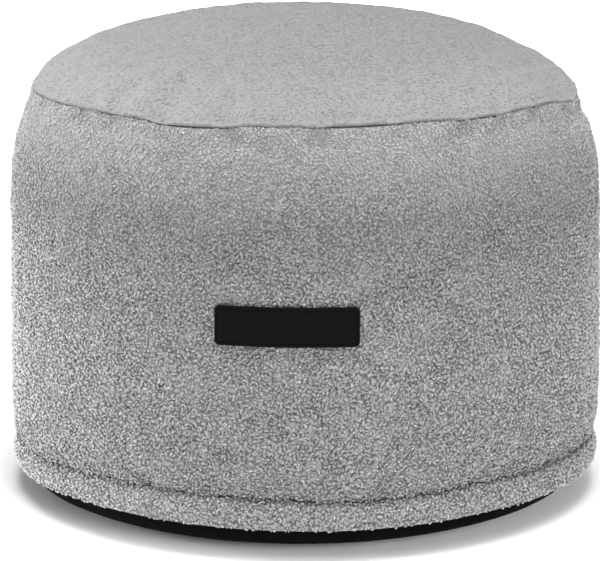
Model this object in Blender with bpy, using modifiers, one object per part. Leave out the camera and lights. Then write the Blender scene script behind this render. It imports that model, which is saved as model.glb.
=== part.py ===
"""A round bean bag footstool: a filled drum of grey boucle cloth on a dark base panel.

The drum is sewn from a domed top panel, a tall side panel and a short base band, and it has a leather
patch at the front. Metres, +Z up. The origin is on the floor, under the middle of the drum, and -Y is
the front. Angles round the drum are in degrees from the front, growing towards +X.
"""

import math

import bmesh
import bpy

# --- Driving sizes, in metres -------------------------------------------------------------------
RADIUS = 0.250            # the drum at its widest, low on the side panel
HEIGHT = 0.4010           # floor to the crown of the top panel
GAP = 0.0003              # left between sewn pieces

HEM_Z = 0.0260            # where the base band ends over the dark base panel
LOWER_SEAM_Z = 0.0495     # side panel to base band
TOP_SEAM_Z = 0.3430       # side panel to top panel

HEM_RADIUS = 0.2455       # the hem, drawn in under the band's bulge
LOWER_SEAM_RADIUS = 0.2435
TOP_SEAM_RADIUS = 0.2285
BAND_BULGE = 0.0045       # how far the band stands out between its seam and its hem
CONTACT_RADIUS = 0.1740   # the flat circle that rests on the floor
BASE_INSET = 0.0070       # the base panel starts this far inside the hem

SEAM_DEPTH = 0.0060       # how far a sewn edge rolls inwards to its seam
SEAM_ROLL = 0.0055        # the height over which it rolls

UPPER_TAPER = 0.0050      # the side panel is this much narrower high up than near its foot
TOP_DRAW_IN = 0.0175      # it also curves in to the top seam by this much
TOP_DRAW_HEIGHT = 0.095   # over this height
TOP_DRAW_EXPONENT = 2.3   # the larger, the closer to the seam the curve is
LOW_DRAW_IN = 0.0060      # the same at the lower seam
LOW_DRAW_HEIGHT = 0.030
LOW_DRAW_EXPONENT = 2.0

CROWN_FLATNESS = 2.35     # exponents of the crown's super-ellipse
CROWN_FULLNESS = 0.68

LABEL_WIDTH = 0.114
LABEL_HEIGHT = 0.0315
LABEL_THICKNESS = 0.0020
LABEL_CORNER = 0.0040
LABEL_CENTRE_Z = 0.1907
LABEL_ANGLE = -3.4        # left of the front
LABEL_COLUMN = 0.008      # the patch bends between columns this wide

SEGMENTS = 120            # faces round the drum
WELD_DISTANCE = 0.0001    # points of a turned solid closer than this are one
SHARP_ANGLE = 50.0        # edges that turn by more than this are sharp

# Where the profiles have their points. Turns are in degrees; shares run from 0 to 1 down a panel.
CROWN_TURNS = (0, 11, 23, 35, 47, 58, 68, 76, 82)
SEAM_TURNS = (30, 60, 90)
SIDE_DROPS = (0.011, 0.024, 0.040, 0.060, 0.085, 0.120, 0.165, 0.215, 0.255, 0.278)
BAND_SHARES = (0.10, 0.30, 0.55, 0.80)
BASE_TURNS = (0, 25, 50, 72, 90)

# Base colours of the materials, linear red, green and blue, and their roughness
BOUCLE_LOOK = ((0.36, 0.36, 0.36), 0.95)
BASE_CLOTH_LOOK = ((0.012, 0.012, 0.012), 0.85)
LEATHER_LOOK = ((0.010, 0.011, 0.008), 0.55)

# --- Unevenness of the sewn drum ----------------------------------------------------------------
# How far each seam rises over its level, round the drum. Between rows the rise is smooth.
SEAM_COLUMNS = ("angle", "top_rise", "lower_rise", "hem_rise")
SEAM_RISES = (
    (-180, +0.0010, +0.0010, +0.0008),
    (-128, -0.0015, -0.0008, -0.0006),
    (-88, -0.0060, -0.0055, -0.0045),
    (-62, -0.0020, -0.0030, -0.0015),
    (-46, -0.0004, +0.0002, +0.0012),
    (-36, -0.0012, +0.0014, +0.0010),
    (-28, -0.0042, +0.0018, +0.0006),
    (-20, -0.0040, +0.0014, +0.0004),
    (-10, -0.0010, +0.0006, +0.0000),
    (6, -0.0008, -0.0016, -0.0004),
    (22, +0.0004, -0.0006, +0.0000),
    (36, -0.0016, +0.0018, +0.0010),
    (54, -0.0006, +0.0002, -0.0002),
    (78, -0.0120, -0.0014, -0.0025),
    (104, -0.0100, -0.0020, -0.0025),
    (140, -0.0020, +0.0010, +0.0006),
)

# A seam's rise fades to nothing at this distance above and below it.
TOP_RISE_REACH = 0.060
LOWER_RISE_REACH = 0.024
HEM_RISE_REACH = 0.024

# Soft gathers that run down from the top seam: the side panel dips along each one.
GATHER_COLUMNS = ("angle", "half_width_degrees", "depth", "length")
GATHERS = (
    (-49, 3.2, 0.0022, 0.026),
    (-41, 3.0, 0.0026, 0.040),
    (-15, 2.8, 0.0026, 0.030),
    (2, 3.4, 0.0032, 0.042),
    (10, 2.6, 0.0016, 0.022),
    (18, 2.8, 0.0020, 0.026),
    (34, 3.2, 0.0034, 0.036),
    (43, 2.8, 0.0028, 0.030),
    (53, 3.0, 0.0030, 0.038),
    (66, 3.2, 0.0018, 0.024),
    (88, 3.4, 0.0024, 0.034),
    (112, 3.0, 0.0030, 0.040),
    (131, 2.8, 0.0018, 0.026),
    (157, 3.2, 0.0028, 0.036),
    (178, 3.0, 0.0022, 0.030),
    (-158, 3.4, 0.0030, 0.042),
    (-136, 2.8, 0.0020, 0.026),
    (-111, 3.2, 0.0026, 0.036),
    (-84, 3.0, 0.0022, 0.030),
    (-66, 3.0, 0.0016, 0.024),
)

CROWN_GATHER_SHARE = 0.4  # the gathers go on into the crown by this share of their depth
CROWN_GATHER_HASTE = 2    # and fade this many times sooner there
BELLY_SWELL = 0.0012      # the side panel is this much fuller on two opposite sides
BELLY_ANGLE = 50.0        # the direction in which it is fuller
CROWN_LEAN = 0.0030       # the filling pushes the crown's shoulder this far towards -X
BASE_LEAN = 0.0040        # and the flat circle on the floor this far


# --- Profile of the drum: radius against height -------------------------------------------------
def side_radius(z):
    """Radius of the side panel at a height, without the roll into its seams."""
    from_top = (TOP_SEAM_Z - z) / TOP_DRAW_HEIGHT
    from_low = (z - LOWER_SEAM_Z) / LOW_DRAW_HEIGHT
    top_draw = TOP_DRAW_IN * max(0.0, 1 - from_top) ** TOP_DRAW_EXPONENT
    low_draw = LOW_DRAW_IN * max(0.0, 1 - from_low) ** LOW_DRAW_EXPONENT
    taper = UPPER_TAPER * (z - LOWER_SEAM_Z) / (TOP_SEAM_Z - LOWER_SEAM_Z)
    return RADIUS - taper - top_draw - low_draw


def seam_roll(outer, seam_z, side):
    """Points where a sewn edge rolls from the radius `outer` into its seam; side +1 is above it."""
    points = []
    for turn in SEAM_TURNS:
        inwards = SEAM_DEPTH * (1 - math.cos(math.radians(turn)))
        left = SEAM_ROLL * (1 - math.sin(math.radians(turn)))
        points.append((outer - inwards, seam_z + side * (left + GAP / 2)))
    return points


def crown_height(radius):
    """Height of the crown over the top seam at a distance from the drum's axis."""
    across = min(1.0, radius / TOP_SEAM_RADIUS)
    return (HEIGHT - TOP_SEAM_Z) * (1 - across ** CROWN_FLATNESS) ** CROWN_FULLNESS


def top_panel_profile():
    points = []
    for turn in CROWN_TURNS:
        radius = TOP_SEAM_RADIUS * math.sin(math.radians(turn))
        points.append((radius, TOP_SEAM_Z + crown_height(radius)))
    points += seam_roll(TOP_SEAM_RADIUS, TOP_SEAM_Z, +1)
    points.append((0.0, TOP_SEAM_Z + GAP / 2))
    return points


def side_panel_profile():
    points = [(0.0, TOP_SEAM_Z - GAP / 2)]
    points += reversed(seam_roll(side_radius(TOP_SEAM_Z - SEAM_ROLL), TOP_SEAM_Z, -1))
    for drop in SIDE_DROPS:
        z = TOP_SEAM_Z - drop
        points.append((side_radius(z), z))
    points += seam_roll(side_radius(LOWER_SEAM_Z + SEAM_ROLL), LOWER_SEAM_Z, +1)
    points.append((0.0, LOWER_SEAM_Z + GAP / 2))
    return points


def band_radius(z):
    """Radius of the base band: a shallow bulge between the lower seam and the hem."""
    along = (LOWER_SEAM_Z - z) / (LOWER_SEAM_Z - HEM_Z)
    chord = LOWER_SEAM_RADIUS + (HEM_RADIUS - LOWER_SEAM_RADIUS) * along
    return chord + BAND_BULGE * math.sin(math.pi * along)


def base_band_profile():
    points = [(0.0, LOWER_SEAM_Z - GAP / 2)]
    points.append((LOWER_SEAM_RADIUS - SEAM_DEPTH / 2, LOWER_SEAM_Z - GAP / 2))
    for along in BAND_SHARES:
        z = LOWER_SEAM_Z + (HEM_Z - LOWER_SEAM_Z) * along
        points.append((band_radius(z), z))
    points.append((HEM_RADIUS, HEM_Z + GAP / 2))
    points.append((0.0, HEM_Z + GAP / 2))
    return points


def bottom_panel_profile():
    """The base panel rounds under from the hem to the flat circle on the floor."""
    start = HEM_RADIUS - BASE_INSET
    points = [(0.0, HEM_Z - GAP / 2)]
    for turn in BASE_TURNS:
        swing = math.radians(turn)
        radius = CONTACT_RADIUS + (start - CONTACT_RADIUS) * math.cos(swing)
        points.append((radius, (HEM_Z - GAP / 2) * (1 - math.sin(swing))))
    points.append((0.0, 0.0))
    return points


# --- Unevenness ---------------------------------------------------------------------------------
def angle_apart(a, b):
    """Signed difference of two angles in degrees, from -180 to 180."""
    return (a - b + 180) % 360 - 180


def seam_rise(angle, column):
    """The rise of a seam at an angle, eased between the rows of SEAM_RISES."""
    rows = SEAM_RISES + ((SEAM_RISES[0][0] + 360,) + SEAM_RISES[0][1:],)
    pick = SEAM_COLUMNS.index(column)
    angle = angle_apart(angle, 0)
    for before, after in zip(rows, rows[1:]):
        if before[0] <= angle <= after[0]:
            share = (angle - before[0]) / (after[0] - before[0])
            eased = (1 - math.cos(math.pi * share)) / 2
            return before[pick] + (after[pick] - before[pick]) * eased
    return 0.0


def nearness(z, level, reach):
    """1 at a level, and 0 from `reach` above and below it."""
    return max(0.0, 1 - abs(z - level) / reach)


def gather_depth(angle, drop):
    """How far the gathers draw the side panel in, at a distance `drop` under the top seam."""
    depth = 0.0
    for gather_angle, half_width, deepest, length in GATHERS:
        across = angle_apart(angle, gather_angle) / half_width
        depth += deepest * math.exp(-across ** 2) * math.exp(-((drop / length) ** 2))
    return depth


def uneven(x, y, z):
    """Moves a point of the even drum to where the sewn and filled drum has it."""
    radius = math.hypot(x, y)
    if radius < GAP:
        return x, y, z
    angle = math.degrees(math.atan2(x, -y))
    outward = radius / RADIUS
    height_share = max(0.0, min(1.0, (z - LOWER_SEAM_Z) / (TOP_SEAM_Z - LOWER_SEAM_Z)))
    crown_share = max(0.0, (z - TOP_SEAM_Z) / (HEIGHT - TOP_SEAM_Z))

    fuller = math.sin(math.pi * height_share)
    swell = BELLY_SWELL * fuller * math.cos(math.radians(2 * (angle - BELLY_ANGLE)))
    if z <= TOP_SEAM_Z:
        swell -= gather_depth(angle, TOP_SEAM_Z - z)
    else:
        swell -= CROWN_GATHER_SHARE * gather_depth(angle, CROWN_GATHER_HASTE * (z - TOP_SEAM_Z))
    stretch = 1 + swell * outward / radius

    rise = (
        seam_rise(angle, "top_rise") * nearness(z, TOP_SEAM_Z, TOP_RISE_REACH)
        + seam_rise(angle, "lower_rise") * nearness(z, LOWER_SEAM_Z, LOWER_RISE_REACH)
        + seam_rise(angle, "hem_rise") * nearness(z, HEM_Z, HEM_RISE_REACH)
    )
    base_share = max(0.0, 1 - z / HEM_Z)
    lean = CROWN_LEAN * math.sin(math.pi * min(1.0, crown_share)) + BASE_LEAN * base_share
    return x * stretch - lean, y * stretch, z + rise * outward ** 2


# --- Making the pieces --------------------------------------------------------------------------
def clear_scene():
    for obj in list(bpy.data.objects):
        bpy.data.objects.remove(obj, do_unlink=True)


def new_collection(name):
    collection = bpy.data.collections.new(name)
    bpy.context.scene.collection.children.link(collection)
    return collection


def new_material(name, look):
    color, roughness = look
    material = bpy.data.materials.new(name)
    material.use_nodes = True
    shader = material.node_tree.nodes["Principled BSDF"]
    shader.inputs["Base Color"].default_value = (*color, 1.0)
    shader.inputs["Roughness"].default_value = roughness
    shader.inputs["Metallic"].default_value = 0.0
    return material


def turned(name, profile, collection):
    """A solid of revolution: the profile as an edge chain, turned round Z by a Screw modifier."""
    edges = [(i, i + 1) for i in range(len(profile) - 1)]
    mesh = bpy.data.meshes.new(name)
    mesh.from_pydata([(radius, 0.0, z) for radius, z in profile], edges, [])
    guide = bpy.data.objects.new(name + "_guide", mesh)
    collection.objects.link(guide)
    screw = guide.modifiers.new("turn", "SCREW")
    screw.steps = screw.render_steps = SEGMENTS
    screw.use_merge_vertices = True
    screw.merge_threshold = WELD_DISTANCE

    graph = bpy.context.evaluated_depsgraph_get()
    solid = bpy.data.meshes.new_from_object(guide.evaluated_get(graph))
    solid.name = name
    bpy.data.objects.remove(guide, do_unlink=True)
    bpy.data.meshes.remove(mesh)
    obj = bpy.data.objects.new(name, solid)
    collection.objects.link(obj)
    return obj


def settle(obj):
    """Gives the even solid the drum's unevenness."""
    for vertex in obj.data.vertices:
        vertex.co = uneven(*vertex.co)


def finish(obj, material):
    obj.data.materials.clear()
    obj.data.materials.append(material)
    obj.data.shade_smooth()
    obj.data.set_sharp_from_angle(angle=math.radians(SHARP_ANGLE))


def panel(name, profile, material, collection):
    obj = turned(name, profile, collection)
    settle(obj)
    finish(obj, material)
    return obj


def round_corners(mesh_data):
    """Bevels the block's four edges that run through the patch, from front to back."""
    through = [e for e in mesh_data.edges if abs(e.verts[0].co.y - e.verts[1].co.y) > LABEL_THICKNESS / 2]
    bmesh.ops.bevel(mesh_data, geom=through, offset=LABEL_CORNER, segments=4, profile=0.5, affect="EDGES")


def cut_columns(mesh_data):
    """Cuts the patch into upright columns, so that it can bend round the drum."""
    count = int(LABEL_WIDTH / 2 / LABEL_COLUMN)
    for step in range(-count, count + 1):
        everything = mesh_data.verts[:] + mesh_data.edges[:] + mesh_data.faces[:]
        bmesh.ops.bisect_plane(
            mesh_data, geom=everything, plane_co=(step * LABEL_COLUMN, 0, 0), plane_no=(1, 0, 0)
        )


def lay_on_side(vertex):
    """Bends a point of the flat patch, which faces -Y, on to the side panel."""
    angle = math.radians(LABEL_ANGLE) + vertex.co.x / RADIUS
    z = LABEL_CENTRE_Z + vertex.co.z
    on_side = side_radius(z)
    x, y, z = uneven(on_side * math.sin(angle), -on_side * math.cos(angle), z)
    radius = math.hypot(x, y)
    outer = radius + GAP + LABEL_THICKNESS / 2 - vertex.co.y
    vertex.co = (x * outer / radius, y * outer / radius, z)


def label(material, collection):
    block = bmesh.new()
    bmesh.ops.create_cube(block, size=1.0)
    bmesh.ops.scale(block, vec=(LABEL_WIDTH, LABEL_THICKNESS, LABEL_HEIGHT), verts=block.verts)
    round_corners(block)
    cut_columns(block)
    for vertex in block.verts:
        lay_on_side(vertex)
    bmesh.ops.recalc_face_normals(block, faces=block.faces)
    mesh = bpy.data.meshes.new("label")
    block.to_mesh(mesh)
    block.free()
    obj = bpy.data.objects.new("label", mesh)
    collection.objects.link(obj)
    finish(obj, material)
    return obj


def stand_on_origin(pieces):
    """Moves all the pieces together, so that the middle of their bounding box is over the origin."""
    for axis in (0, 1):
        places = [v.co[axis] for obj in pieces for v in obj.data.vertices]
        middle = (min(places) + max(places)) / 2
        for obj in pieces:
            for vertex in obj.data.vertices:
                vertex.co[axis] -= middle


def main():
    clear_scene()
    footstool = new_collection("bean_bag_footstool")
    boucle = new_material("grey_boucle", BOUCLE_LOOK)
    base_cloth = new_material("dark_base_cloth", BASE_CLOTH_LOOK)
    leather = new_material("black_leather", LEATHER_LOOK)
    pieces = [
        panel("top_panel", top_panel_profile(), boucle, footstool),
        panel("side_panel", side_panel_profile(), boucle, footstool),
        panel("base_band", base_band_profile(), boucle, footstool),
        panel("bottom_panel", bottom_panel_profile(), base_cloth, footstool),
        label(leather, footstool),
    ]
    stand_on_origin(pieces)


main()
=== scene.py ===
"""The looks of the bean bag footstool: filled cloth panels with a curled pile, a dark base and a label.

Each panel starts from the rings of its CAD solid, is puffed by a cloth simulation between its seams, and
carries a pile of small curls. Metres, +Z up, -Y is the front. Angles round the drum are in degrees from
the front, growing towards +X, as in the CAD.
"""

import math

import bpy
import numpy as np
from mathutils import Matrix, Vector
from mathutils.bvhtree import BVHTree


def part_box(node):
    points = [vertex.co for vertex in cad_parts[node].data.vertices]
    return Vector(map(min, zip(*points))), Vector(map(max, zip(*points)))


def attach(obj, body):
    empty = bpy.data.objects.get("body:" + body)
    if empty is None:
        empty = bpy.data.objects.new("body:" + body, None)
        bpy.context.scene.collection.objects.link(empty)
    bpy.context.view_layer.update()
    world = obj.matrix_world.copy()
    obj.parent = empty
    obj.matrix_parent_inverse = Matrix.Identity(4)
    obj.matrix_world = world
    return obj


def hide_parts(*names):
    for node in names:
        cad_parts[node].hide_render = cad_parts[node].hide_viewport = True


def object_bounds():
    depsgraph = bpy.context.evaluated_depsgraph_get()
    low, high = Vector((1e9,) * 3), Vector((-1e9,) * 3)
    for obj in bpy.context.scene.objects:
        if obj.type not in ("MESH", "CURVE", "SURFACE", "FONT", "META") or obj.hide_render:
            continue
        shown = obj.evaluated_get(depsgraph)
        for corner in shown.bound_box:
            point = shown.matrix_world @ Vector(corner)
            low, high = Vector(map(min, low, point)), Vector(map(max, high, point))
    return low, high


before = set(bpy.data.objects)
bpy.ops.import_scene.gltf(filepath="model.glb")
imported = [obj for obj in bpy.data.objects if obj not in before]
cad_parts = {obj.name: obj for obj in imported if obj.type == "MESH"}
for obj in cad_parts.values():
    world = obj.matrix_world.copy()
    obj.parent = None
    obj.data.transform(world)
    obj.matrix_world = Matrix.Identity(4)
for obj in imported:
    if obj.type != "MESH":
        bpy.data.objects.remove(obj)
CAD_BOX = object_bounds()

# --- Cloth panels -------------------------------------------------------------------------------
CAD_COLUMNS = 120          # points round each CAD ring
POLE_REACH = 0.01          # the point that closes the rings is this close to the drum's axis
COLUMNS = 400              # points round each finished panel
CROWN_ROWS = 58
WALL_ROWS = 84
BAND_ROWS = 18
BASE_ROWS = 24
FINENESS = 0.75            # how much closer a panel's rows lie near its seams

PILE_ROOM = 0.0013         # the cloth lies this far inside the CAD surface, under its pile
SEAM_ROOM_SHARE = 0.1      # and this share of it inside at a seam
LUMP_SIZE = 0.021          # soft lumps of the filling
LUMP_HEIGHT = 0.00035
LUMP_REACH = 0.020         # they fade out over this distance from a seam
SEAM_REACH = 0.010         # the cloth bends into a seam over this distance
FOOT_REACH = 0.016         # and into the lower seam over this, on the wall's side
NO_SEAM = 1.0              # stands for the distance to a seam at the crown's middle, where there is none

# The top seam: how far the filling bulges out on both sides of it, and how far from it the pile starts,
# below 0 where the curls lie over it.
TOP_SEAM_COLUMNS = ("angle", "fullness", "gap")
TOP_SEAM = (
    (-180, 0.0028, 0.0003),
    (-100, 0.0030, 0.0000),
    (-58, 0.0036, -0.0008),
    (-45, 0.0032, -0.0003),
    (-31, 0.0032, -0.0002),
    (-29, 0.0028, 0.0012),
    (-25, 0.0032, 0.0002),
    (-21, 0.0024, 0.0022),
    (-15, 0.0032, 0.0000),
    (-9, 0.0042, -0.0014),
    (1, 0.0042, -0.0014),
    (4, 0.0026, 0.0016),
    (11, 0.0020, 0.0026),
    (17, 0.0026, 0.0014),
    (21, 0.0034, -0.0006),
    (31, 0.0038, -0.0010),
    (36, 0.0032, 0.0002),
    (43, 0.0036, -0.0004),
    (48, 0.0036, -0.0006),
    (70, 0.0036, -0.0008),
    (120, 0.0028, 0.0003),
)

# Soft creases that hang from the top seam, the hollow under the label, and dimples of the band. Distances
# are from the panel's first row to the middle of the hollow; lengths run down the panel.
HOLLOW_COLUMNS = ("angle", "distance", "length", "width", "depth")
CREASES = (
    (-43, 0.010, 0.024, 0.016, 0.0016),
    (-24, 0.030, 0.050, 0.022, 0.0014),
    (-14, 0.014, 0.034, 0.005, 0.0010),
    (2, 0.020, 0.040, 0.009, 0.0020),
    (32, 0.012, 0.030, 0.010, 0.0016),
    (41, 0.014, 0.036, 0.012, 0.0018),
    (54, 0.012, 0.034, 0.010, 0.0016),
    (92, 0.014, 0.036, 0.012, 0.0016),
    (131, 0.018, 0.040, 0.010, 0.0014),
    (168, 0.012, 0.030, 0.012, 0.0018),
    (-95, 0.016, 0.040, 0.010, 0.0014),
    (-142, 0.012, 0.034, 0.014, 0.0016),
    (-3, 0.177, 0.012, 0.110, 0.0016),
)
DIMPLES = (
    (12, 0.005, 0.010, 0.030, 0.0018),
    (-74, 0.006, 0.012, 0.026, 0.0012),
    (88, 0.005, 0.010, 0.034, 0.0014),
    (176, 0.006, 0.012, 0.028, 0.0014),
)

# How open the pile is, from 0, pressed flat and even, to 1, upright curls with painted shade in their
# gaps, and how light it
# is: a tone that carries painted light and shade. Distances are from a panel's first row: the crown's
# middle, the wall's top seam and the band's seam.
NAP_COLUMNS = ("distance", "openness", "tone")
CROWN_NAP = (
    (0.000, 0.01, 0.66),
    (0.150, 0.01, 0.68),
    (0.215, 0.03, 0.79),
    (0.234, 0.08, 0.82),
    (0.244, 0.55, 0.86),
    (0.257, 0.85, 0.84),
)
# On the wall the tone is painted light and shade, all the way round: a darker belt about 80 mm under the
# top seam, lighter low down, and painted shade deepening at the foot into the lower seam.
WALL_NAP = (
    (0.000, 0.50, 1.00),
    (0.030, 0.52, 0.92),
    (0.080, 0.78, 0.78),
    (0.130, 0.92, 0.95),
    (0.200, 1.00, 1.06),
    (0.280, 1.00, 1.04),
    (0.290, 1.00, 0.92),
    (0.298, 1.00, 0.80),
    (0.306, 1.00, 0.62),
)
# The band's lighter tone is painted light, where it catches the light under the lower seam.
BAND_NAP = (
    (0.000, 1.00, 1.02),
    (0.006, 1.00, 1.12),
    (0.020, 0.95, 1.14),
)
NAP_PATCH_SIZE = 0.050     # the openness varies in soft patches
NAP_PATCH_SHARE = 0.06
NAP_PATCH_SEED = 5

# --- Cloth simulation ---------------------------------------------------------------------------
SIM_COLUMNS = 300
CROWN_SIM_ROWS = 44
WALL_SIM_ROWS = 60
SIM_FRAMES = 20
SIM_PRESSURE = 4.0
SIM_CAP = 0.0030           # the furthest that a point may move from the even swell
SIM_STIFFNESS = 15.0       # thick cloth, so that its gathers are broad
WALL_SURPLUS = 0.022       # share of extra cloth between the seams, which makes the gathers
CROWN_SURPLUS = 0.002
CROWN_CALM = 0.080         # the crown's gathers fade out from here to its middle

# --- Pile ---------------------------------------------------------------------------------------
CURL_SPACING = 0.00325
CURL_JITTER = 0.45         # how far a curl may stand from its even place, as a share of the spacing
CURL_LENGTH = 0.0043
CURL_THICKNESS = 0.0023
CURL_RISE = 0.0009         # how far the middle of a curl stands over its ends
CURL_SINK = 0.0001         # how deep its ends are in the cloth
FLAT_LOFT = 0.04           # height of a curl where the pile lies flat, against where it is open

LENGTH_RANGE = (0.7, 1.3)  # how curls differ, as shares of these sizes
RISE_RANGE = (0.3, 1.6)
THICKNESS_RANGE = (0.8, 1.25)
TURN_RANGE = (70, 260)     # degrees that a curl bends through
FLAT_SPREAD = 0.03         # spread of the curls' tones where the pile is flat
OPEN_SPREAD = 0.08         # and how much more where it is open

STATIONS = np.array([0.0, 0.3, 0.7, 1.0])             # places along a curl
STATION_THICKNESS = np.array([0.0, 1.0, 1.0, 0.0])
SIDES = np.radians([90.0, 210.0, 330.0])              # corners of its section
CURL_POINTS = 8                                       # a tip, two rings of three and a tip
CURL_TRIANGLES = 12
# The material reads these heights to paint shade towards each curl's root.
CURL_HEIGHTS = (0.0, 1.0, 0.3, 0.3, 1.0, 0.3, 0.3, 0.0)  # from root, 0, to the top of the arch, 1
CELL_MARGIN = 0.12                                    # round a curl's cell of the bake map

MOST_PIECE_TRIANGLES = 190000
PILE_SEED = 11
MOST_OVERLAP = -0.0015     # the furthest that the pile reaches over the top seam
CROWN_PILE_ENDS = (0.002, None)      # how far from a panel's ends its pile starts and stops,
WALL_PILE_ENDS = (None, 0.0020)      # None at the top seam, which has a table of its own
BAND_PILE_ENDS = (0.0012, -0.0006)

# --- Materials ----------------------------------------------------------------------------------
NOISE_LOW = 0.3            # a noise mostly stays between these
NOISE_HIGH = 0.7

TIP_GREY = 0.70            # linear greys of the yarn
# The root grey is painted shade: the material darkens each curl from its top down to its root, where shade
# falls between the curls.
ROOT_PAINTED_SHADE_GREY = 0.16
NUB_GREY = 0.42
# The gap grey is painted shade in the gaps between the backing's nubs.
GAP_PAINTED_SHADE_GREY = 0.06
FLAT_GREY = 0.42           # the even grey of pile that lies flat
CLUMP_SIZE = 0.007         # clumps of curls that are a little darker or lighter
CLUMP_TONES = (0.90, 1.10)
FIBRE_SIZE = 0.0005
FIBRE_TONES = (0.90, 1.08)
FUZZ_SIZE = 0.00035
FUZZ_HEIGHT = 0.00008
PILE_SHEEN = 0.1
PILE_SHEEN_ROUGHNESS = 0.6
NUB_SIZE = 0.0030
# The dark lines round the nubs are painted shade.
NUB_EDGE = 0.10            # width of the dark lines round the nubs, as a share of the noise
NUB_HEIGHT = 0.0006

BASE_THREAD = 0.0016       # pitch of the base cloth's weave
# The base's near-black is partly its cloth's own colour and partly painted shade under the hem.
BASE_CLOTH_AND_SHADE_GREYS = (0.0015, 0.0045)
BASE_SPECULAR = 0.05
BASE_THREAD_HEIGHT = 0.0003

GRAIN_SIZE = 0.0011
GRAIN_EDGE = 0.16          # width of the creases between the leather's pebbles, as a share of their size
GRAIN_HEIGHT = 0.00012
GRAIN_STRENGTH = 0.6
PORE_SIZE = 0.0004
PORE_SHARE = 0.5           # height of the pores against the pebbles
RUB_SIZE = 0.004           # patches that are rubbed smoother or left duller
RUB_ROUGHNESS = (0.50, 0.62)
LEATHER_SPECULAR = 0.07
LEATHER_CREASE_COLOR = (0.0016, 0.0018, 0.0012, 1)
LEATHER_COLOR = (0.0045, 0.005, 0.0036, 1)

# --- Label --------------------------------------------------------------------------------------
LABEL_WIDTH = 0.114
LABEL_HEIGHT = 0.0315
LABEL_CORNER = 0.0040
LEAST_CORNER = 0.0005
LABEL_TUCK = 0.0008        # curls reach this far under the label's edge
CAD_GAP = 0.0003           # between the label and the wall's CAD solid

# The label's section, from the middle of its underside round its edge, over the pressed groove and on to
# its face. An inset is from its outline; a height is over its underside.
LABEL_PROFILE_COLUMNS = ("inset", "height")
LABEL_PROFILE = (
    (0.0150, 0.0000),
    (0.0004, 0.0000),
    (0.0000, 0.0002),
    (0.0000, 0.0013),
    (0.0002, 0.0017),
    (0.0005, 0.0019),
    (0.0010, 0.0020),
    (0.0021, 0.0020),
    (0.0024, 0.0016),
    (0.0029, 0.0014),
    (0.0034, 0.0016),
    (0.0037, 0.0020),
    (0.0050, 0.0020),
    (0.0080, 0.0020),
    (0.0115, 0.0020),
    (0.0150, 0.0020),
)

# --- Stage --------------------------------------------------------------------------------------
FLOOR_RADIUS = 6.0
FLOOR_CORNERS = 96
FLOOR_CLOUD_SIZE = 0.4
FLOOR_GREYS = (0.895, 0.905)
FLOOR_SPECULAR = 0.1

ROOM_LIGHT = 0.27
DRUM_MIDDLE = (0, 0, 0.2)
LIGHT_COLUMNS = ("name", "location", "target", "size", "power", "spread")
LIGHTS = (
    ("overhead", (0, -0.45, 3.0), DRUM_MIDDLE, 2.0, 82, 180),
    ("front", (0, -1.6, 2.4), DRUM_MIDDLE, 1.6, 18, 180),
    ("left", (-2.6, 0.4, 0.45), DRUM_MIDDLE, 0.8, 44, 180),
    ("right", (2.4, -1.2, 0.6), DRUM_MIDDLE, 0.9, 3, 180),
    ("behind", (0, 3.2, 2.6), (0, 3.2, 0), 2.6, 120, 100),
)
FLOOR_LIGHT = ("under", (1.6, -2.8, 0.9), (0, -0.2, 0), 1.8, 120, 180)

CAMERA_LENS = 181.5        # millimetres
CAMERA_SENSOR = 36.0
CAMERA_PLACE = (-0.0042, -2.5, 0.7575)
CAMERA_DOWN = 13.23        # degrees under the horizon


# --- Tables -------------------------------------------------------------------------------------
def named(columns, row):
    """A table's row as a dictionary with a key for each column."""
    return dict(zip(columns, row))


def read_table(table, columns, at, name, where, period=None):
    """The table's column `name`, read between its rows at these values of its column `at`."""
    values = np.array(table)
    return np.interp(where, values[:, columns.index(at)], values[:, columns.index(name)], period=period)


# --- Reading the CAD ----------------------------------------------------------------------------
def welded(mesh):
    """The mesh's points without doubles, and each point's neighbours."""
    raw = np.array([vertex.co for vertex in mesh.vertices])
    points, index = np.unique(np.round(raw, 5), axis=0, return_inverse=True)
    index = index.ravel()
    neighbours = [set() for _ in points]
    for edge in mesh.edges:
        a, b = index[edge.vertices[0]], index[edge.vertices[1]]
        neighbours[a].add(b)
        neighbours[b].add(a)
    return points, neighbours


def rings_of(name):
    """A turned CAD solid as (top pole, rings, bottom pole); a ring holds one point a column."""
    points, neighbours = welded(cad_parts[name].data)
    near_axis = np.hypot(points[:, 0], points[:, 1]) < POLE_REACH
    pole = int(np.argmax(np.where(near_axis, points[:, 2], -1.0)))
    seen = {pole}
    layer = neighbours[pole] - seen
    rings = []
    while len(layer) == CAD_COLUMNS:
        seen |= layer
        rings.append(in_order(points[sorted(layer)]))
        layer = set().union(*(neighbours[i] for i in layer)) - seen
    bottom = points[layer.pop()] if layer else rings[-1].mean(axis=0)
    return points[pole], np.array(rings), bottom


def in_order(ring):
    """A ring's points, one for each column, in the order of their angles round its middle."""
    column = np.round(angles(ring - ring.mean(axis=0)) / 360 * CAD_COLUMNS).astype(int) % CAD_COLUMNS
    ordered = np.empty_like(ring)
    ordered[column] = ring
    return ordered


# --- Grids of points ----------------------------------------------------------------------------
def angles(points):
    """Angles round the drum, in degrees."""
    return np.degrees(np.arctan2(points[..., 0], -points[..., 1]))


def unit(vectors):
    return vectors / np.maximum(np.linalg.norm(vectors, axis=-1, keepdims=True), 1e-12)


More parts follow.
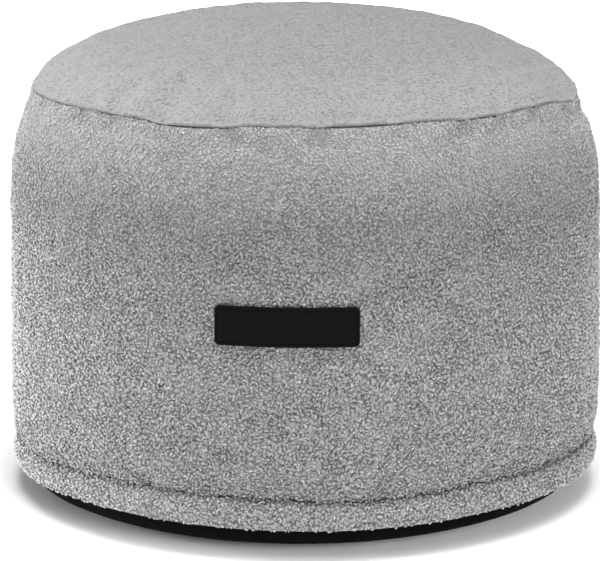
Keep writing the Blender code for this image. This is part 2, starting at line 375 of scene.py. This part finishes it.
def cubic(values, at, where):
    """A smooth curve through the rows of `values`, which lie at `at`, read at `where`."""
    slope = np.gradient(values, at, axis=0)
    i = np.clip(np.searchsorted(at, where, side="right") - 1, 0, len(at) - 2)
    step = at[i + 1] - at[i]
    t = (where - at[i]) / step
    shape = (-1,) + (1,) * (values.ndim - 1)
    t, step = t.reshape(shape), step.reshape(shape)
    return (
        (2 * t ** 3 - 3 * t ** 2 + 1) * values[i]
        + (t ** 3 - 2 * t ** 2 + t) * step * slope[i]
        + (3 * t ** 2 - 2 * t ** 3) * values[i + 1]
        + (t ** 3 - t ** 2) * step * slope[i + 1]
    )


def more_columns(grid, count):
    """The same closed rings with `count` points each."""
    old = grid.shape[1]
    margin = 3
    wide = np.concatenate([grid[:, -margin:], grid, grid[:, :margin]], axis=1)
    at = np.arange(-margin, old + margin, dtype=float)
    where = np.arange(count) * old / count
    return np.swapaxes(cubic(np.swapaxes(wide, 0, 1), at, where), 0, 1)


def distances(rings):
    """How far each ring is from the first, along the profile."""
    steps = np.linalg.norm(np.diff(rings, axis=0), axis=2).mean(axis=1)
    return np.concatenate([[0.0], np.cumsum(steps)])


def refined(rings, shares, columns):
    """The rings' surface with rows at these shares of its profile and this many columns."""
    at = distances(rings)
    return more_columns(cubic(rings, at, shares * at[-1]), columns)


def fine_ends(count):
    """Row shares that lie closer together near both ends."""
    t = np.linspace(0, 1, count)
    return t - FINENESS * np.sin(2 * np.pi * t) / (2 * np.pi)


def fine_last_end(count):
    """Row shares that lie closer together near the last end."""
    t = np.linspace(0, 1, count)
    return t + FINENESS * np.sin(np.pi * t) / np.pi


def normals(grid):
    """Outward unit normals of a grid whose rows run down the outside."""
    down = np.gradient(grid, axis=0)
    round_it = np.roll(grid, -1, axis=1) - np.roll(grid, 1, axis=1)
    return unit(np.cross(down, round_it))


def waves(points, size, seed, count=40):
    """Bumps of about this size through space, with a mean of 0 and a spread of 1."""
    rng = np.random.default_rng(seed)
    ways = rng.normal(size=(count, 3))
    ways /= np.linalg.norm(ways, axis=1, keepdims=True)
    ways *= 2 * np.pi / (size * rng.uniform(0.7, 1.5, (count, 1)))
    phase = rng.uniform(0, 2 * np.pi, count)
    return np.sin(points @ ways.T + phase).sum(axis=-1) * math.sqrt(2 / count)


def read_grid(grid, places):
    """Values of a grid at fractional rows and columns."""
    rows, columns = grid.shape[:2]
    row = np.clip(places[:, 0], 0, rows - 1.001)
    i = row.astype(int)
    j = places[:, 1].astype(int)
    s = (row - i)[:, None]
    t = (places[:, 1] - j)[:, None]
    j, k = j % columns, (j + 1) % columns
    upper = grid[i, j] * (1 - t) + grid[i, k] * t
    lower = grid[i + 1, j] * (1 - t) + grid[i + 1, k] * t
    return upper * (1 - s) + lower * s


# --- Meshes -------------------------------------------------------------------------------------
def mesh_object(name, points, faces, material):
    """A new smooth mesh object. `faces` is a list of arrays, each of faces with the same corner count."""
    mesh = bpy.data.meshes.new(name)
    corners = np.concatenate([part.ravel() for part in faces]).astype(np.int32)
    sizes = np.concatenate([np.full(len(part), part.shape[1]) for part in faces])
    starts = np.concatenate([[0], np.cumsum(sizes)[:-1]]).astype(np.int32)
    mesh.vertices.add(len(points))
    mesh.vertices.foreach_set("co", points.astype(np.float32).ravel())
    mesh.loops.add(len(corners))
    mesh.loops.foreach_set("vertex_index", corners)
    mesh.polygons.add(len(sizes))
    mesh.polygons.foreach_set("loop_start", starts)
    mesh.update(calc_edges=True)
    mesh.shade_smooth()
    mesh.materials.append(material)
    obj = bpy.data.objects.new(name, mesh)
    bpy.context.scene.collection.objects.link(obj)
    return obj


def grid_faces(rows, columns):
    """Quads of a grid that is closed round, facing out when its rows run down."""
    row, column = np.meshgrid(np.arange(rows - 1), np.arange(columns), indexing="ij")
    right = (column + 1) % columns
    quads = [
        row * columns + column,
        (row + 1) * columns + column,
        (row + 1) * columns + right,
        row * columns + right,
    ]
    return np.stack(quads, axis=-1).reshape(-1, 4)


def closed_mesh(name, grid, top, bottom, material):
    """The grid closed by a fan at each end, round a top and a bottom pole."""
    rows, columns = grid.shape[:2]
    points = np.concatenate([grid.reshape(-1, 3), [top, bottom]])
    here = np.arange(columns)
    right = (here + 1) % columns
    last = (rows - 1) * columns
    fans = np.concatenate([
        np.stack([np.full(columns, rows * columns), here, right], axis=1),
        np.stack([np.full(columns, rows * columns + 1), last + right, last + here], axis=1),
    ])
    return mesh_object(name, points, [grid_faces(rows, columns), fans], material)


def store(obj, **values):
    """Stores a number for each point of a mesh, for its material to read."""
    for key, numbers in values.items():
        attribute = obj.data.attributes.new(key, "FLOAT", "POINT")
        attribute.data.foreach_set("value", np.asarray(numbers, np.float32).ravel())


# --- Cloth simulation ---------------------------------------------------------------------------
def pinned_points(rows, columns):
    """Numbers of the points that the seams hold: the first and last two rows and both poles."""
    pinned = np.zeros((rows, columns), bool)
    pinned[:2] = pinned[-2:] = True
    return np.flatnonzero(np.append(pinned, [True, True])).tolist()


def add_cloth(obj, surplus):
    """Blender's cloth, pressed out from inside, with this share of extra cloth and no weight."""
    cloth = obj.modifiers.new("cloth", "CLOTH")
    settings = cloth.settings
    settings.vertex_group_mass = "pins"
    settings.effector_weights.gravity = 0
    settings.use_pressure = True
    settings.uniform_pressure_force = SIM_PRESSURE
    settings.bending_stiffness = SIM_STIFFNESS
    settings.shrink_min = -surplus
    cloth.point_cache.frame_start = 1
    cloth.point_cache.frame_end = SIM_FRAMES


def puffed(grid, top, bottom, surplus):
    """How the cloth of a panel moves when the filling presses on it and its seams hold it.

    The CAD shape is the filled one, so the even swell of each row is taken out and the gathers stay.
    """
    rows, columns = grid.shape[:2]
    obj = closed_mesh("simulated_cloth", grid, top, bottom, None)
    pins = obj.vertex_groups.new(name="pins")
    pins.add(pinned_points(rows, columns), 1.0, "REPLACE")
    add_cloth(obj, surplus)
    scene = bpy.context.scene
    for number in range(1, SIM_FRAMES + 1):
        scene.frame_set(number)
    moved = obj.evaluated_get(bpy.context.evaluated_depsgraph_get()).data
    points = np.empty(len(moved.vertices) * 3, np.float32)
    moved.vertices.foreach_get("co", points)
    bpy.data.objects.remove(obj, do_unlink=True)
    scene.frame_set(1)

    up = normals(grid)
    move = points.reshape(-1, 3)[:rows * columns].reshape(grid.shape) - grid
    outward = (move * up).sum(axis=2, keepdims=True)
    outward -= outward.mean(axis=1, keepdims=True)
    return up * np.clip(outward, -SIM_CAP, SIM_CAP)


# --- Materials ----------------------------------------------------------------------------------
def new_material(name, roughness):
    material = bpy.data.materials.new(name)
    material.use_nodes = True
    shader = material.node_tree.nodes["Principled BSDF"]
    shader.inputs["Roughness"].default_value = roughness
    return material, material.node_tree, shader


def add_node(tree, kind, settings=None, **inputs):
    """Adds a node. An input is a value, or the socket that feeds it.

    `_` in an input's name is a space, and a name such as `_2` gives the input's number.
    """
    node = tree.nodes.new("ShaderNode" + kind)
    for key, value in (settings or {}).items():
        setattr(node, key, value)
    for key, value in inputs.items():
        socket = node.inputs[int(key[1:])] if key[1:].isdigit() else node.inputs[key.replace("_", " ")]
        if isinstance(value, bpy.types.NodeSocket):
            tree.links.new(value, socket)
        else:
            socket.default_value = value
    return node


def attribute(tree, name):
    """A number that `store` put on the mesh."""
    return add_node(tree, "Attribute", {"attribute_name": name}).outputs["Fac"]


def object_noise(tree, size, detail=2.0):
    """Noise whose bumps are about `size` metres, from 0 to 1."""
    place = add_node(tree, "TexCoord")
    noise = add_node(tree, "TexNoise", Vector=place.outputs["Object"], Scale=1 / size, Detail=detail)
    return noise.outputs["Fac"]


def mapped(tree, value, low, high, to=(0.0, 1.0)):
    """The value's range from `low` to `high` laid on the range `to`, and cut off at its ends."""
    node = add_node(tree, "MapRange", Value=value, From_Min=low, From_Max=high, To_Min=to[0], To_Max=to[1])
    return node.outputs["Result"]


def clouds(tree, size, to):
    """Soft noise of this size, spread over the range `to`."""
    return mapped(tree, object_noise(tree, size), NOISE_LOW, NOISE_HIGH, to)


def times(tree, a, b):
    return add_node(tree, "Math", {"operation": "MULTIPLY"}, _0=a, _1=b).outputs[0]


def plus(tree, a, b):
    return add_node(tree, "Math", {"operation": "ADD"}, _0=a, _1=b).outputs[0]


def grey(tree, value):
    """A grey of this linear value."""
    return add_node(tree, "CombineColor", Red=value, Green=value, Blue=value).outputs["Color"]


def bump(tree, shader, height, distance, strength=1.0):
    node = add_node(tree, "Bump", Height=height, Distance=distance, Strength=strength)
    tree.links.new(node.outputs["Normal"], shader.inputs["Normal"])


def pile_shade(tree, pattern):
    """The pile's grey: `pattern` where it is open, and an even grey where it lies flat, times its tone,
    which carries painted light and shade.
    """
    clumped = times(tree, pattern, clouds(tree, CLUMP_SIZE, CLUMP_TONES))
    mixed = add_node(tree, "Mix", _0=attribute(tree, "openness"), _2=FLAT_GREY, _3=clumped).outputs[0]
    return times(tree, mixed, attribute(tree, "tone"))


def pile_material():
    """Grey teddy yarn: painted shade darkens the roots of its curls, light on top, with a fine fibre."""
    material, tree, shader = new_material("boucle_pile", 0.95)
    painted_shade_by_height = mapped(tree, attribute(tree, "curl_height"), 0.0, 1.0, (ROOT_PAINTED_SHADE_GREY, TIP_GREY))
    shade = times(tree, pile_shade(tree, painted_shade_by_height), clouds(tree, FIBRE_SIZE, FIBRE_TONES))
    tree.links.new(grey(tree, shade), shader.inputs["Base Color"])
    shader.inputs["Sheen Weight"].default_value = PILE_SHEEN
    shader.inputs["Sheen Roughness"].default_value = PILE_SHEEN_ROUGHNESS
    bump(tree, shader, object_noise(tree, FUZZ_SIZE, 1.0), FUZZ_HEIGHT)
    return material


def backing_material():
    """Deeper curls of the same yarn, seen between the ones on top: lines of painted shade wind round
    lighter nubs.
    """
    material, tree, shader = new_material("boucle_backing", 0.97)
    centred = plus(tree, object_noise(tree, NUB_SIZE, 1.0), -0.5)
    winding = add_node(tree, "Math", {"operation": "ABSOLUTE"}, _0=centred).outputs[0]
    nub = mapped(tree, winding, 0.0, NUB_EDGE)
    pattern = mapped(tree, nub, 0.0, 1.0, (GAP_PAINTED_SHADE_GREY, NUB_GREY))
    tree.links.new(grey(tree, pile_shade(tree, pattern)), shader.inputs["Base Color"])
    bump(tree, shader, times(tree, nub, attribute(tree, "openness")), NUB_HEIGHT)
    return material


def base_cloth_material():
    """Near-black plain weave, the cloth's own dark colour made darker still as painted shade under the
    hem.
    """
    material, tree, shader = new_material("dark_base_cloth", 0.9)
    place = add_node(tree, "TexCoord").outputs["Object"]
    threads = []
    for way in ((1, 0, 0.5), (0, 1, 0.5)):
        turns = Vector(way) * (2 * math.pi / BASE_THREAD)
        along = add_node(tree, "VectorMath", {"operation": "DOT_PRODUCT"}, _0=place, _1=turns)
        threads.append(add_node(tree, "Math", {"operation": "SINE"}, _0=along.outputs["Value"]).outputs[0])
    weave = mapped(tree, times(tree, *threads), -1, 1)
    tree.links.new(grey(tree, mapped(tree, weave, 0, 1, BASE_CLOTH_AND_SHADE_GREYS)), shader.inputs["Base Color"])
    shader.inputs["Specular IOR Level"].default_value = BASE_SPECULAR
    bump(tree, shader, weave, BASE_THREAD_HEIGHT)
    return material


def leather_material():
    """Black leather with a fine pebbled grain."""
    material, tree, shader = new_material("black_leather", 0.5)
    place = add_node(tree, "TexCoord").outputs["Object"]
    cells = add_node(
        tree, "TexVoronoi", {"feature": "DISTANCE_TO_EDGE"}, Vector=place, Scale=1 / GRAIN_SIZE
    )
    grain = mapped(tree, cells.outputs["Distance"], 0.0, GRAIN_EDGE)
    height = plus(tree, grain, times(tree, object_noise(tree, PORE_SIZE), PORE_SHARE))
    tree.links.new(clouds(tree, RUB_SIZE, RUB_ROUGHNESS), shader.inputs["Roughness"])
    shader.inputs["Specular IOR Level"].default_value = LEATHER_SPECULAR
    color = add_node(
        tree, "Mix", {"data_type": "RGBA"}, _0=grain, _6=LEATHER_CREASE_COLOR, _7=LEATHER_COLOR
    ).outputs[2]
    tree.links.new(color, shader.inputs["Base Color"])
    bump(tree, shader, height, GRAIN_HEIGHT, GRAIN_STRENGTH)
    return material


def floor_material():
    material, tree, shader = new_material("pale_floor", 0.9)
    tree.links.new(grey(tree, clouds(tree, FLOOR_CLOUD_SIZE, FLOOR_GREYS)), shader.inputs["Base Color"])
    shader.inputs["Specular IOR Level"].default_value = FLOOR_SPECULAR
    return material


# --- Pile ---------------------------------------------------------------------------------------
def scattered(grid, spacing, first, last, rng):
    """Places for curls, evenly jittered, as fractions of rows and columns.

    `first` and `last` are how far from the grid's ends the pile starts and stops.
    """
    at = distances(grid)
    rows = np.arange(len(at))
    girth = np.linalg.norm(np.roll(grid, -1, axis=1) - grid, axis=2).sum(axis=1)
    places = []
    for along in np.arange(first, at[-1] - last, spacing):
        count = max(3, round(np.interp(along, at, girth) / spacing))
        aside = rng.uniform(-CURL_JITTER, CURL_JITTER, count)
        column = (np.arange(count) + aside + rng.uniform()) / count
        row = np.interp(along + rng.uniform(-CURL_JITTER, CURL_JITTER, count) * spacing, at, rows)
        places.append(np.stack([row, column % 1 * grid.shape[1]], axis=1))
    return np.concatenate(places)


def curl_points(base, up, openness, rng):
    """The points of every curl, C-shaped and arched over the cloth, and lower where the pile is flat."""
    count = len(base)
    side = unit(np.cross(up, rng.normal(size=(count, 3))))
    ahead = np.cross(side, up)
    length = CURL_LENGTH * rng.uniform(*LENGTH_RANGE, (count, 1))
    turn = np.radians(rng.uniform(*TURN_RANGE, (count, 1))) * rng.choice([-1, 1], (count, 1))
    rise = CURL_RISE * rng.uniform(*RISE_RANGE, (count, 1))
    thick = CURL_THICKNESS / 2 * rng.uniform(*THICKNESS_RANGE, (count, 1))

    swing = turn * (STATIONS - 0.5)
    forward = length / turn * np.sin(swing)
    across = length / turn * (1 - np.cos(swing))
    height = rise * np.sin(np.pi * STATIONS) - CURL_SINK
    up = up * (FLAT_LOFT + (1 - FLAT_LOFT) * openness[:, None])
    middle = (
        base[:, None]
        + forward[..., None] * ahead[:, None]
        + across[..., None] * side[:, None]
        + height[..., None] * up[:, None]
    )
    outward = np.cos(swing)[..., None] * side[:, None] - np.sin(swing)[..., None] * ahead[:, None]
    radius = (thick * STATION_THICKNESS)[..., None]
    corners = [
        middle + radius * (np.cos(angle) * outward + np.sin(angle) * up[:, None]) for angle in SIDES
    ]
    body = np.stack(corners, axis=2)[:, 1:-1].reshape(count, CURL_POINTS - 2, 3)
    return np.concatenate([middle[:, :1], body, middle[:, -1:]], axis=1)


def curl_faces():
    """Triangles and quads of one curl, with the (along, round) place of each corner for its map."""
    tips, walls, tip_map, wall_map = [], [], [], []
    for j in range(3):
        k = (j + 1) % 3
        tips += [(0, 1 + k, 1 + j), (7, 4 + j, 4 + k)]
        tip_map += [((0, j + 0.5), (1, j + 1), (1, j)), ((3, j + 0.5), (2, j), (2, j + 1))]
        walls.append((1 + j, 1 + k, 4 + k, 4 + j))
        wall_map.append(((1, j), (1, j + 1), (2, j + 1), (2, j)))
    return np.array(tips), np.array(walls), np.array(tip_map, float), np.array(wall_map, float)


def pile_piece(name, base, up, openness, tone, material, rng):
    """One mesh of curls at these points, with a cell of its own for each curl in the bake map."""
    points = curl_points(base, up, openness, rng)
    count = len(base)
    tips, walls, tip_map, wall_map = curl_faces()
    shift = (np.arange(count) * CURL_POINTS)[:, None, None]
    faces = [(tips + shift).reshape(-1, 3), (walls + shift).reshape(-1, 4)]
    obj = mesh_object(name, points.reshape(-1, 3), faces, material)

    cells = math.ceil(math.sqrt(count))
    corner = np.stack([np.arange(count) % cells, np.arange(count) // cells], axis=1)[:, None, None]
    maps = [
        (corner + CELL_MARGIN + part / 3 * (1 - 2 * CELL_MARGIN)).reshape(-1, 2) / cells
        for part in (tip_map, wall_map)
    ]
    layer = obj.data.uv_layers.new(name="OFBake")
    layer.data.foreach_set("uv", np.concatenate(maps).astype(np.float32).ravel())
    spread = rng.normal(1.0, FLAT_SPREAD + OPEN_SPREAD * openness)
    store(
        obj,
        curl_height=np.tile(CURL_HEIGHTS, count),
        openness=np.repeat(openness, CURL_POINTS),
        tone=np.repeat(tone * spread, CURL_POINTS),
    )
    return obj


def off_seam(grid, places, base, ends):
    """Which curls stand further from the top seam than its table asks, at the ends that are None."""
    at = distances(grid)
    along = np.interp(places[:, 0], np.arange(len(at)), at)
    gap = along_seam(base, "gap")
    chosen = np.ones(len(base), bool)
    for end, distance in zip(ends, (along, at[-1] - along)):
        if end is None:
            chosen &= distance >= gap
    return chosen


def nap_at(grid, points, rows, nap):
    """The openness and the tone, with its painted light and shade, of the pile at these points, which lie
    at fractional rows of a grid.
    """
    along = np.interp(rows, np.arange(len(grid)), distances(grid))
    openness = read_table(nap, NAP_COLUMNS, "distance", "openness", along)
    tone = read_table(nap, NAP_COLUMNS, "distance", "tone", along)
    patch = 1 + NAP_PATCH_SHARE * waves(points, NAP_PATCH_SIZE, NAP_PATCH_SEED)
    return np.clip(openness * patch, 0, 1), tone


def add_pile(panel, grid, nap, ends, material, keep):
    """Covers a panel with curls, in as many pieces as its triangles need, and parents them to it.

    `ends` is how far from the grid's two ends the pile starts and stops: a distance, below 0 where it
    hangs over the end, or None for the top seam's own table. `keep`, if given, says which points to cover.
    """
    rng = np.random.default_rng(PILE_SEED + len(panel.name))
    places = scattered(grid, CURL_SPACING, *(MOST_OVERLAP if end is None else end for end in ends), rng)
    base = read_grid(grid, places)
    chosen = off_seam(grid, places, base, ends)
    if keep is not None:
        chosen &= keep(base)
    base, places = base[chosen], places[chosen]
    up = unit(read_grid(normals(grid), places))
    openness, tone = nap_at(grid, base, places[:, 0], nap)
    pieces = math.ceil(len(base) * CURL_TRIANGLES / MOST_PIECE_TRIANGLES)
    sector = (places[:, 1] / grid.shape[1] * pieces).astype(int)
    for number in range(pieces):
        inside = sector == number
        name = f"{panel.name}_pile_{number + 1}"
        pile = pile_piece(name, base[inside], up[inside], openness[inside], tone[inside], material, rng)
        pile.parent = panel


def dress(panel, grid, nap, ends, material, keep=None):
    """Gives a panel its pile, and its own points the nap that the backing's material reads."""
    rows, columns = grid.shape[:2]
    openness, tone = nap_at(grid, grid.reshape(-1, 3), np.repeat(np.arange(rows), columns), nap)
    with_poles = np.append(np.arange(rows * columns), [0, rows * columns - 1])
    store(panel, openness=openness[with_poles], tone=tone[with_poles])
    add_pile(panel, grid, nap, ends, material, keep)


# --- Panels -------------------------------------------------------------------------------------
def along_seam(points, name):
    """A column of the top seam's table at the angles of these points."""
    return read_table(TOP_SEAM, TOP_SEAM_COLUMNS, "angle", name, angles(points), period=360)


def hollow_depth(grid, at, hollows):
    """How deep the table's hollows are at each point of a grid whose rows lie at `at`."""
    angle = angles(grid)
    depth = np.zeros(grid.shape[:2])
    metres_a_degree = np.linalg.norm(grid[..., :2], axis=2) * np.pi / 180
    for row in hollows:
        hollow = named(HOLLOW_COLUMNS, row)
        turned = (angle - hollow["angle"] + 180) % 360 - 180
        aside = turned * metres_a_degree / (hollow["width"] / 2)
        below = (at - hollow["distance"]) / (hollow["length"] / 2)
        depth += hollow["depth"] * np.exp(-aside ** 2 - below ** 2)
    return depth


def soften(grid, seed, closes, hollows, dome):
    """Insets the cloth under its pile, gives it soft lumps and hollows, and part closes its seams.

    `closes` is the share of the top seam's fullness at the grid's first and last row; a share below 0
    draws the cloth in.
    """
    at = distances(grid)[:, None]
    from_first = at + (NO_SEAM if dome else 0.0)
    from_last = at[-1] - at
    from_seam = np.minimum(from_first, from_last)
    lumps = waves(grid, LUMP_SIZE, seed) * LUMP_HEIGHT * np.clip(from_seam / LUMP_REACH, 0, 1)
    inset = PILE_ROOM * np.clip(from_seam / SEAM_REACH, SEAM_ROOM_SHARE, 1)
    inset = inset + hollow_depth(grid, at, hollows)
    grid = grid + normals(grid) * (lumps - inset)[..., None]

    outward = unit(grid * (1, 1, 0))
    push = 0
    for share, distance in zip(closes, (from_first, from_last)):
        reach = SEAM_REACH if share > 0 else FOOT_REACH
        push = push + share * along_seam(grid, "fullness") * np.clip(1 - distance / reach, 0, 1) ** 2
    return grid + outward * push[..., None]


def gathers(rings, top, bottom, shares, sim_rows, surplus, dome):
    """The uneven part of the simulated move, for a grid with rows at these shares of the profile."""
    length = distances(rings)[-1]
    sim_shares = fine_last_end(sim_rows) if dome else fine_ends(sim_rows)
    at = sim_shares * length
    if dome:
        move = puffed(refined(rings, sim_shares[1:], SIM_COLUMNS), top, bottom, surplus)
        move = np.concatenate([np.zeros_like(move[:1]), move])
        move *= np.clip(at / CROWN_CALM, 0, 1)[:, None, None] ** 2
    else:
        move = puffed(refined(rings, sim_shares, SIM_COLUMNS), top, bottom, surplus)
    return more_columns(cubic(move, at, shares * length), COLUMNS)


def make_panel(
    name, node, shares, material, seed=0, closes=None, hollows=(), sim_rows=0, surplus=0.0, dome=False
):
    """A finished panel for a CAD node: (object, grid of its outer surface).

    `shares` places its rows. With `closes` it is softened, and with `sim_rows` it is simulated first. A
    dome has no seam at its first row, which is one point.
    """
    top, rings, bottom = rings_of(node)
    if dome:
        rings = np.concatenate([np.broadcast_to(top, rings[:1].shape), rings])
    grid = refined(rings, shares, COLUMNS)
    if sim_rows:
        grid = grid + gathers(rings, top, bottom, shares, sim_rows, surplus, dome)
    if closes is not None:
        grid = soften(grid, seed, closes, hollows, dome)
    if dome:
        top, grid = grid[0].mean(axis=0), grid[1:]
    obj = closed_mesh(name, grid, top, bottom, material)
    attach(obj, "root")
    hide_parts(node)
    return obj, grid


# --- Label --------------------------------------------------------------------------------------
def rounded_outline(width, height, corner, count=64, corner_points=9):
    """Points round a rounded rectangle, `count` in each quarter, from the middle of its right side."""
    a, b = width / 2 - corner, height / 2 - corner
    swing = np.linspace(0, math.pi / 2, corner_points)
    quarter = np.concatenate([
        [(a + corner, 0.0)],
        np.stack([a + corner * np.cos(swing), b + corner * np.sin(swing)], axis=1),
        [(0.0, b + corner)],
    ])
    at = np.concatenate([[0.0], np.cumsum(np.linalg.norm(np.diff(quarter, axis=0), axis=1))])
    where = np.linspace(0, at[-1], count + 1)
    quarter = np.stack([np.interp(where, at, quarter[:, axis]) for axis in (0, 1)], axis=1)
    half = np.concatenate([quarter[:-1], quarter[::-1] * (-1, 1)])
    return np.concatenate([half[:-1], -half[:-1]])


def on_wall(flat, wall, centre_angle, centre_z):
    """Lays points of the flat label, given as (x, up, height), on to the side panel."""
    drum = (CAD_BOX[1].x - CAD_BOX[0].x) / 2
    angle = centre_angle + flat[:, 0] / drum
    laid = []
    for place, lift, height in zip(angle, centre_z + flat[:, 1], flat[:, 2]):
        way = Vector((math.sin(place), -math.cos(place), 0))
        hit = wall.ray_cast(Vector((0, 0, lift)), way)[0]
        laid.append(hit + way * (CAD_GAP + height))
    return np.array(laid)


def label_grid():
    """The label's surface, bent to the wall: a row for each row of its profile."""
    low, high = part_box("label")
    points = np.array([vertex.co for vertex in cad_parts["label"].data.vertices])
    centre_angle = math.atan2(points[:, 0].mean(), -points[:, 1].mean())
    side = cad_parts["side_panel"].data
    wall = BVHTree.FromPolygons(
        [vertex.co for vertex in side.vertices], [face.vertices for face in side.polygons]
    )
    rows = []
    for row in LABEL_PROFILE:
        edge = named(LABEL_PROFILE_COLUMNS, row)
        inset = edge["inset"]
        corner = max(LABEL_CORNER - inset, LEAST_CORNER)
        outline = rounded_outline(LABEL_WIDTH - 2 * inset, LABEL_HEIGHT - 2 * inset, corner)
        flat = np.concatenate([outline, np.full((len(outline), 1), edge["height"])], axis=1)
        rows.append(on_wall(flat, wall, centre_angle, (low.z + high.z) / 2))
    return np.array(rows)


def label_faces(rows, columns):
    """Faces of the label's grid: its rows, and strips that close its underside and its face."""
    quads = grid_faces(rows, columns)[:, ::-1]
    here = np.arange(1, columns // 2)
    strip = np.stack([here[:-1], here[1:], columns - here[1:], columns - here[:-1]], axis=1)
    ends = np.array([[0, 1, columns - 1], [columns // 2, columns // 2 + 1, columns // 2 - 1]])
    last = (rows - 1) * columns
    return [quads, strip[:, ::-1], strip + last, ends[:, ::-1], ends + last]


def make_label(material):
    grid = label_grid()
    faces = label_faces(*grid.shape[:2])
    obj = mesh_object("leather_label", grid.reshape(-1, 3), faces, material)
    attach(obj, "root")
    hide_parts("label")
    return obj


def off_label(base):
    """Which curls are not under the label."""
    low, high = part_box("label")
    inside = (base[:, 0] > low.x + LABEL_TUCK) & (base[:, 0] < high.x - LABEL_TUCK)
    inside &= (base[:, 2] > low.z + LABEL_TUCK) & (base[:, 2] < high.z - LABEL_TUCK)
    inside &= base[:, 1] < 0
    return ~inside


# --- Stage --------------------------------------------------------------------------------------
def make_floor():
    bpy.ops.mesh.primitive_circle_add(
        vertices=FLOOR_CORNERS, radius=FLOOR_RADIUS, fill_type="NGON", location=(0, 0, 0)
    )
    floor = bpy.context.object
    floor.name = "floor"
    floor.data.materials.append(floor_material())
    return floor


def area_light(name, location, target, size, power, spread):
    light = bpy.data.lights.new(name, "AREA")
    light.shape = "DISK"
    light.spread = math.radians(spread)
    light.size = size
    light.energy = power
    obj = bpy.data.objects.new(name, light)
    obj.location = location
    obj.rotation_euler = (Vector(target) - Vector(location)).to_track_quat("-Z", "Y").to_euler()
    bpy.context.scene.collection.objects.link(obj)
    return obj


def make_room():
    """Even white light from all round."""
    world = bpy.data.worlds.new("soft_white_room")
    world.use_nodes = True
    background = world.node_tree.nodes["Background"]
    background.inputs["Color"].default_value = (1, 1, 1, 1)
    background.inputs["Strength"].default_value = ROOM_LIGHT
    bpy.context.scene.world = world


def make_lights(floor):
    """The studio's lamps, and a low one for the floor alone, which keeps the shadow near the base."""
    for row in LIGHTS:
        area_light(**named(LIGHT_COLUMNS, row))
    under = area_light(**named(LIGHT_COLUMNS, FLOOR_LIGHT))
    only_floor = bpy.data.collections.new("lit_from_low_down")
    only_floor.objects.link(floor)
    under.light_linking.receiver_collection = only_floor


def make_camera():
    camera = bpy.data.cameras.new("camera")
    camera.sensor_width = CAMERA_SENSOR
    camera.lens = CAMERA_LENS
    obj = bpy.data.objects.new("camera", camera)
    obj.location = CAMERA_PLACE
    obj.rotation_euler = (math.radians(90 - CAMERA_DOWN), 0, 0)
    bpy.context.scene.collection.objects.link(obj)
    bpy.context.scene.camera = obj


def main():
    make_camera()
    make_room()
    make_lights(make_floor())
    bpy.context.scene.view_settings.view_transform = "Standard"
    pile = pile_material()
    backing = backing_material()
    crown, crown_grid = make_panel(
        "crown", "top_panel", fine_last_end(CROWN_ROWS), backing, seed=1, closes=(0, 1),
        sim_rows=CROWN_SIM_ROWS, surplus=CROWN_SURPLUS, dome=True,
    )
    wall, wall_grid = make_panel(
        "wall", "side_panel", fine_ends(WALL_ROWS), backing, seed=2, closes=(1, -0.9), hollows=CREASES,
        sim_rows=WALL_SIM_ROWS, surplus=WALL_SURPLUS,
    )
    band, band_grid = make_panel(
        "band", "base_band", fine_ends(BAND_ROWS), backing, seed=3, closes=(0.2, 0), hollows=DIMPLES
    )
    base, _ = make_panel("base", "bottom_panel", fine_ends(BASE_ROWS), base_cloth_material())
    dress(crown, crown_grid, CROWN_NAP, CROWN_PILE_ENDS, pile)
    dress(wall, wall_grid, WALL_NAP, WALL_PILE_ENDS, pile, keep=off_label)
    dress(band, band_grid, BAND_NAP, BAND_PILE_ENDS, pile)
    make_label(leather_material())


main()
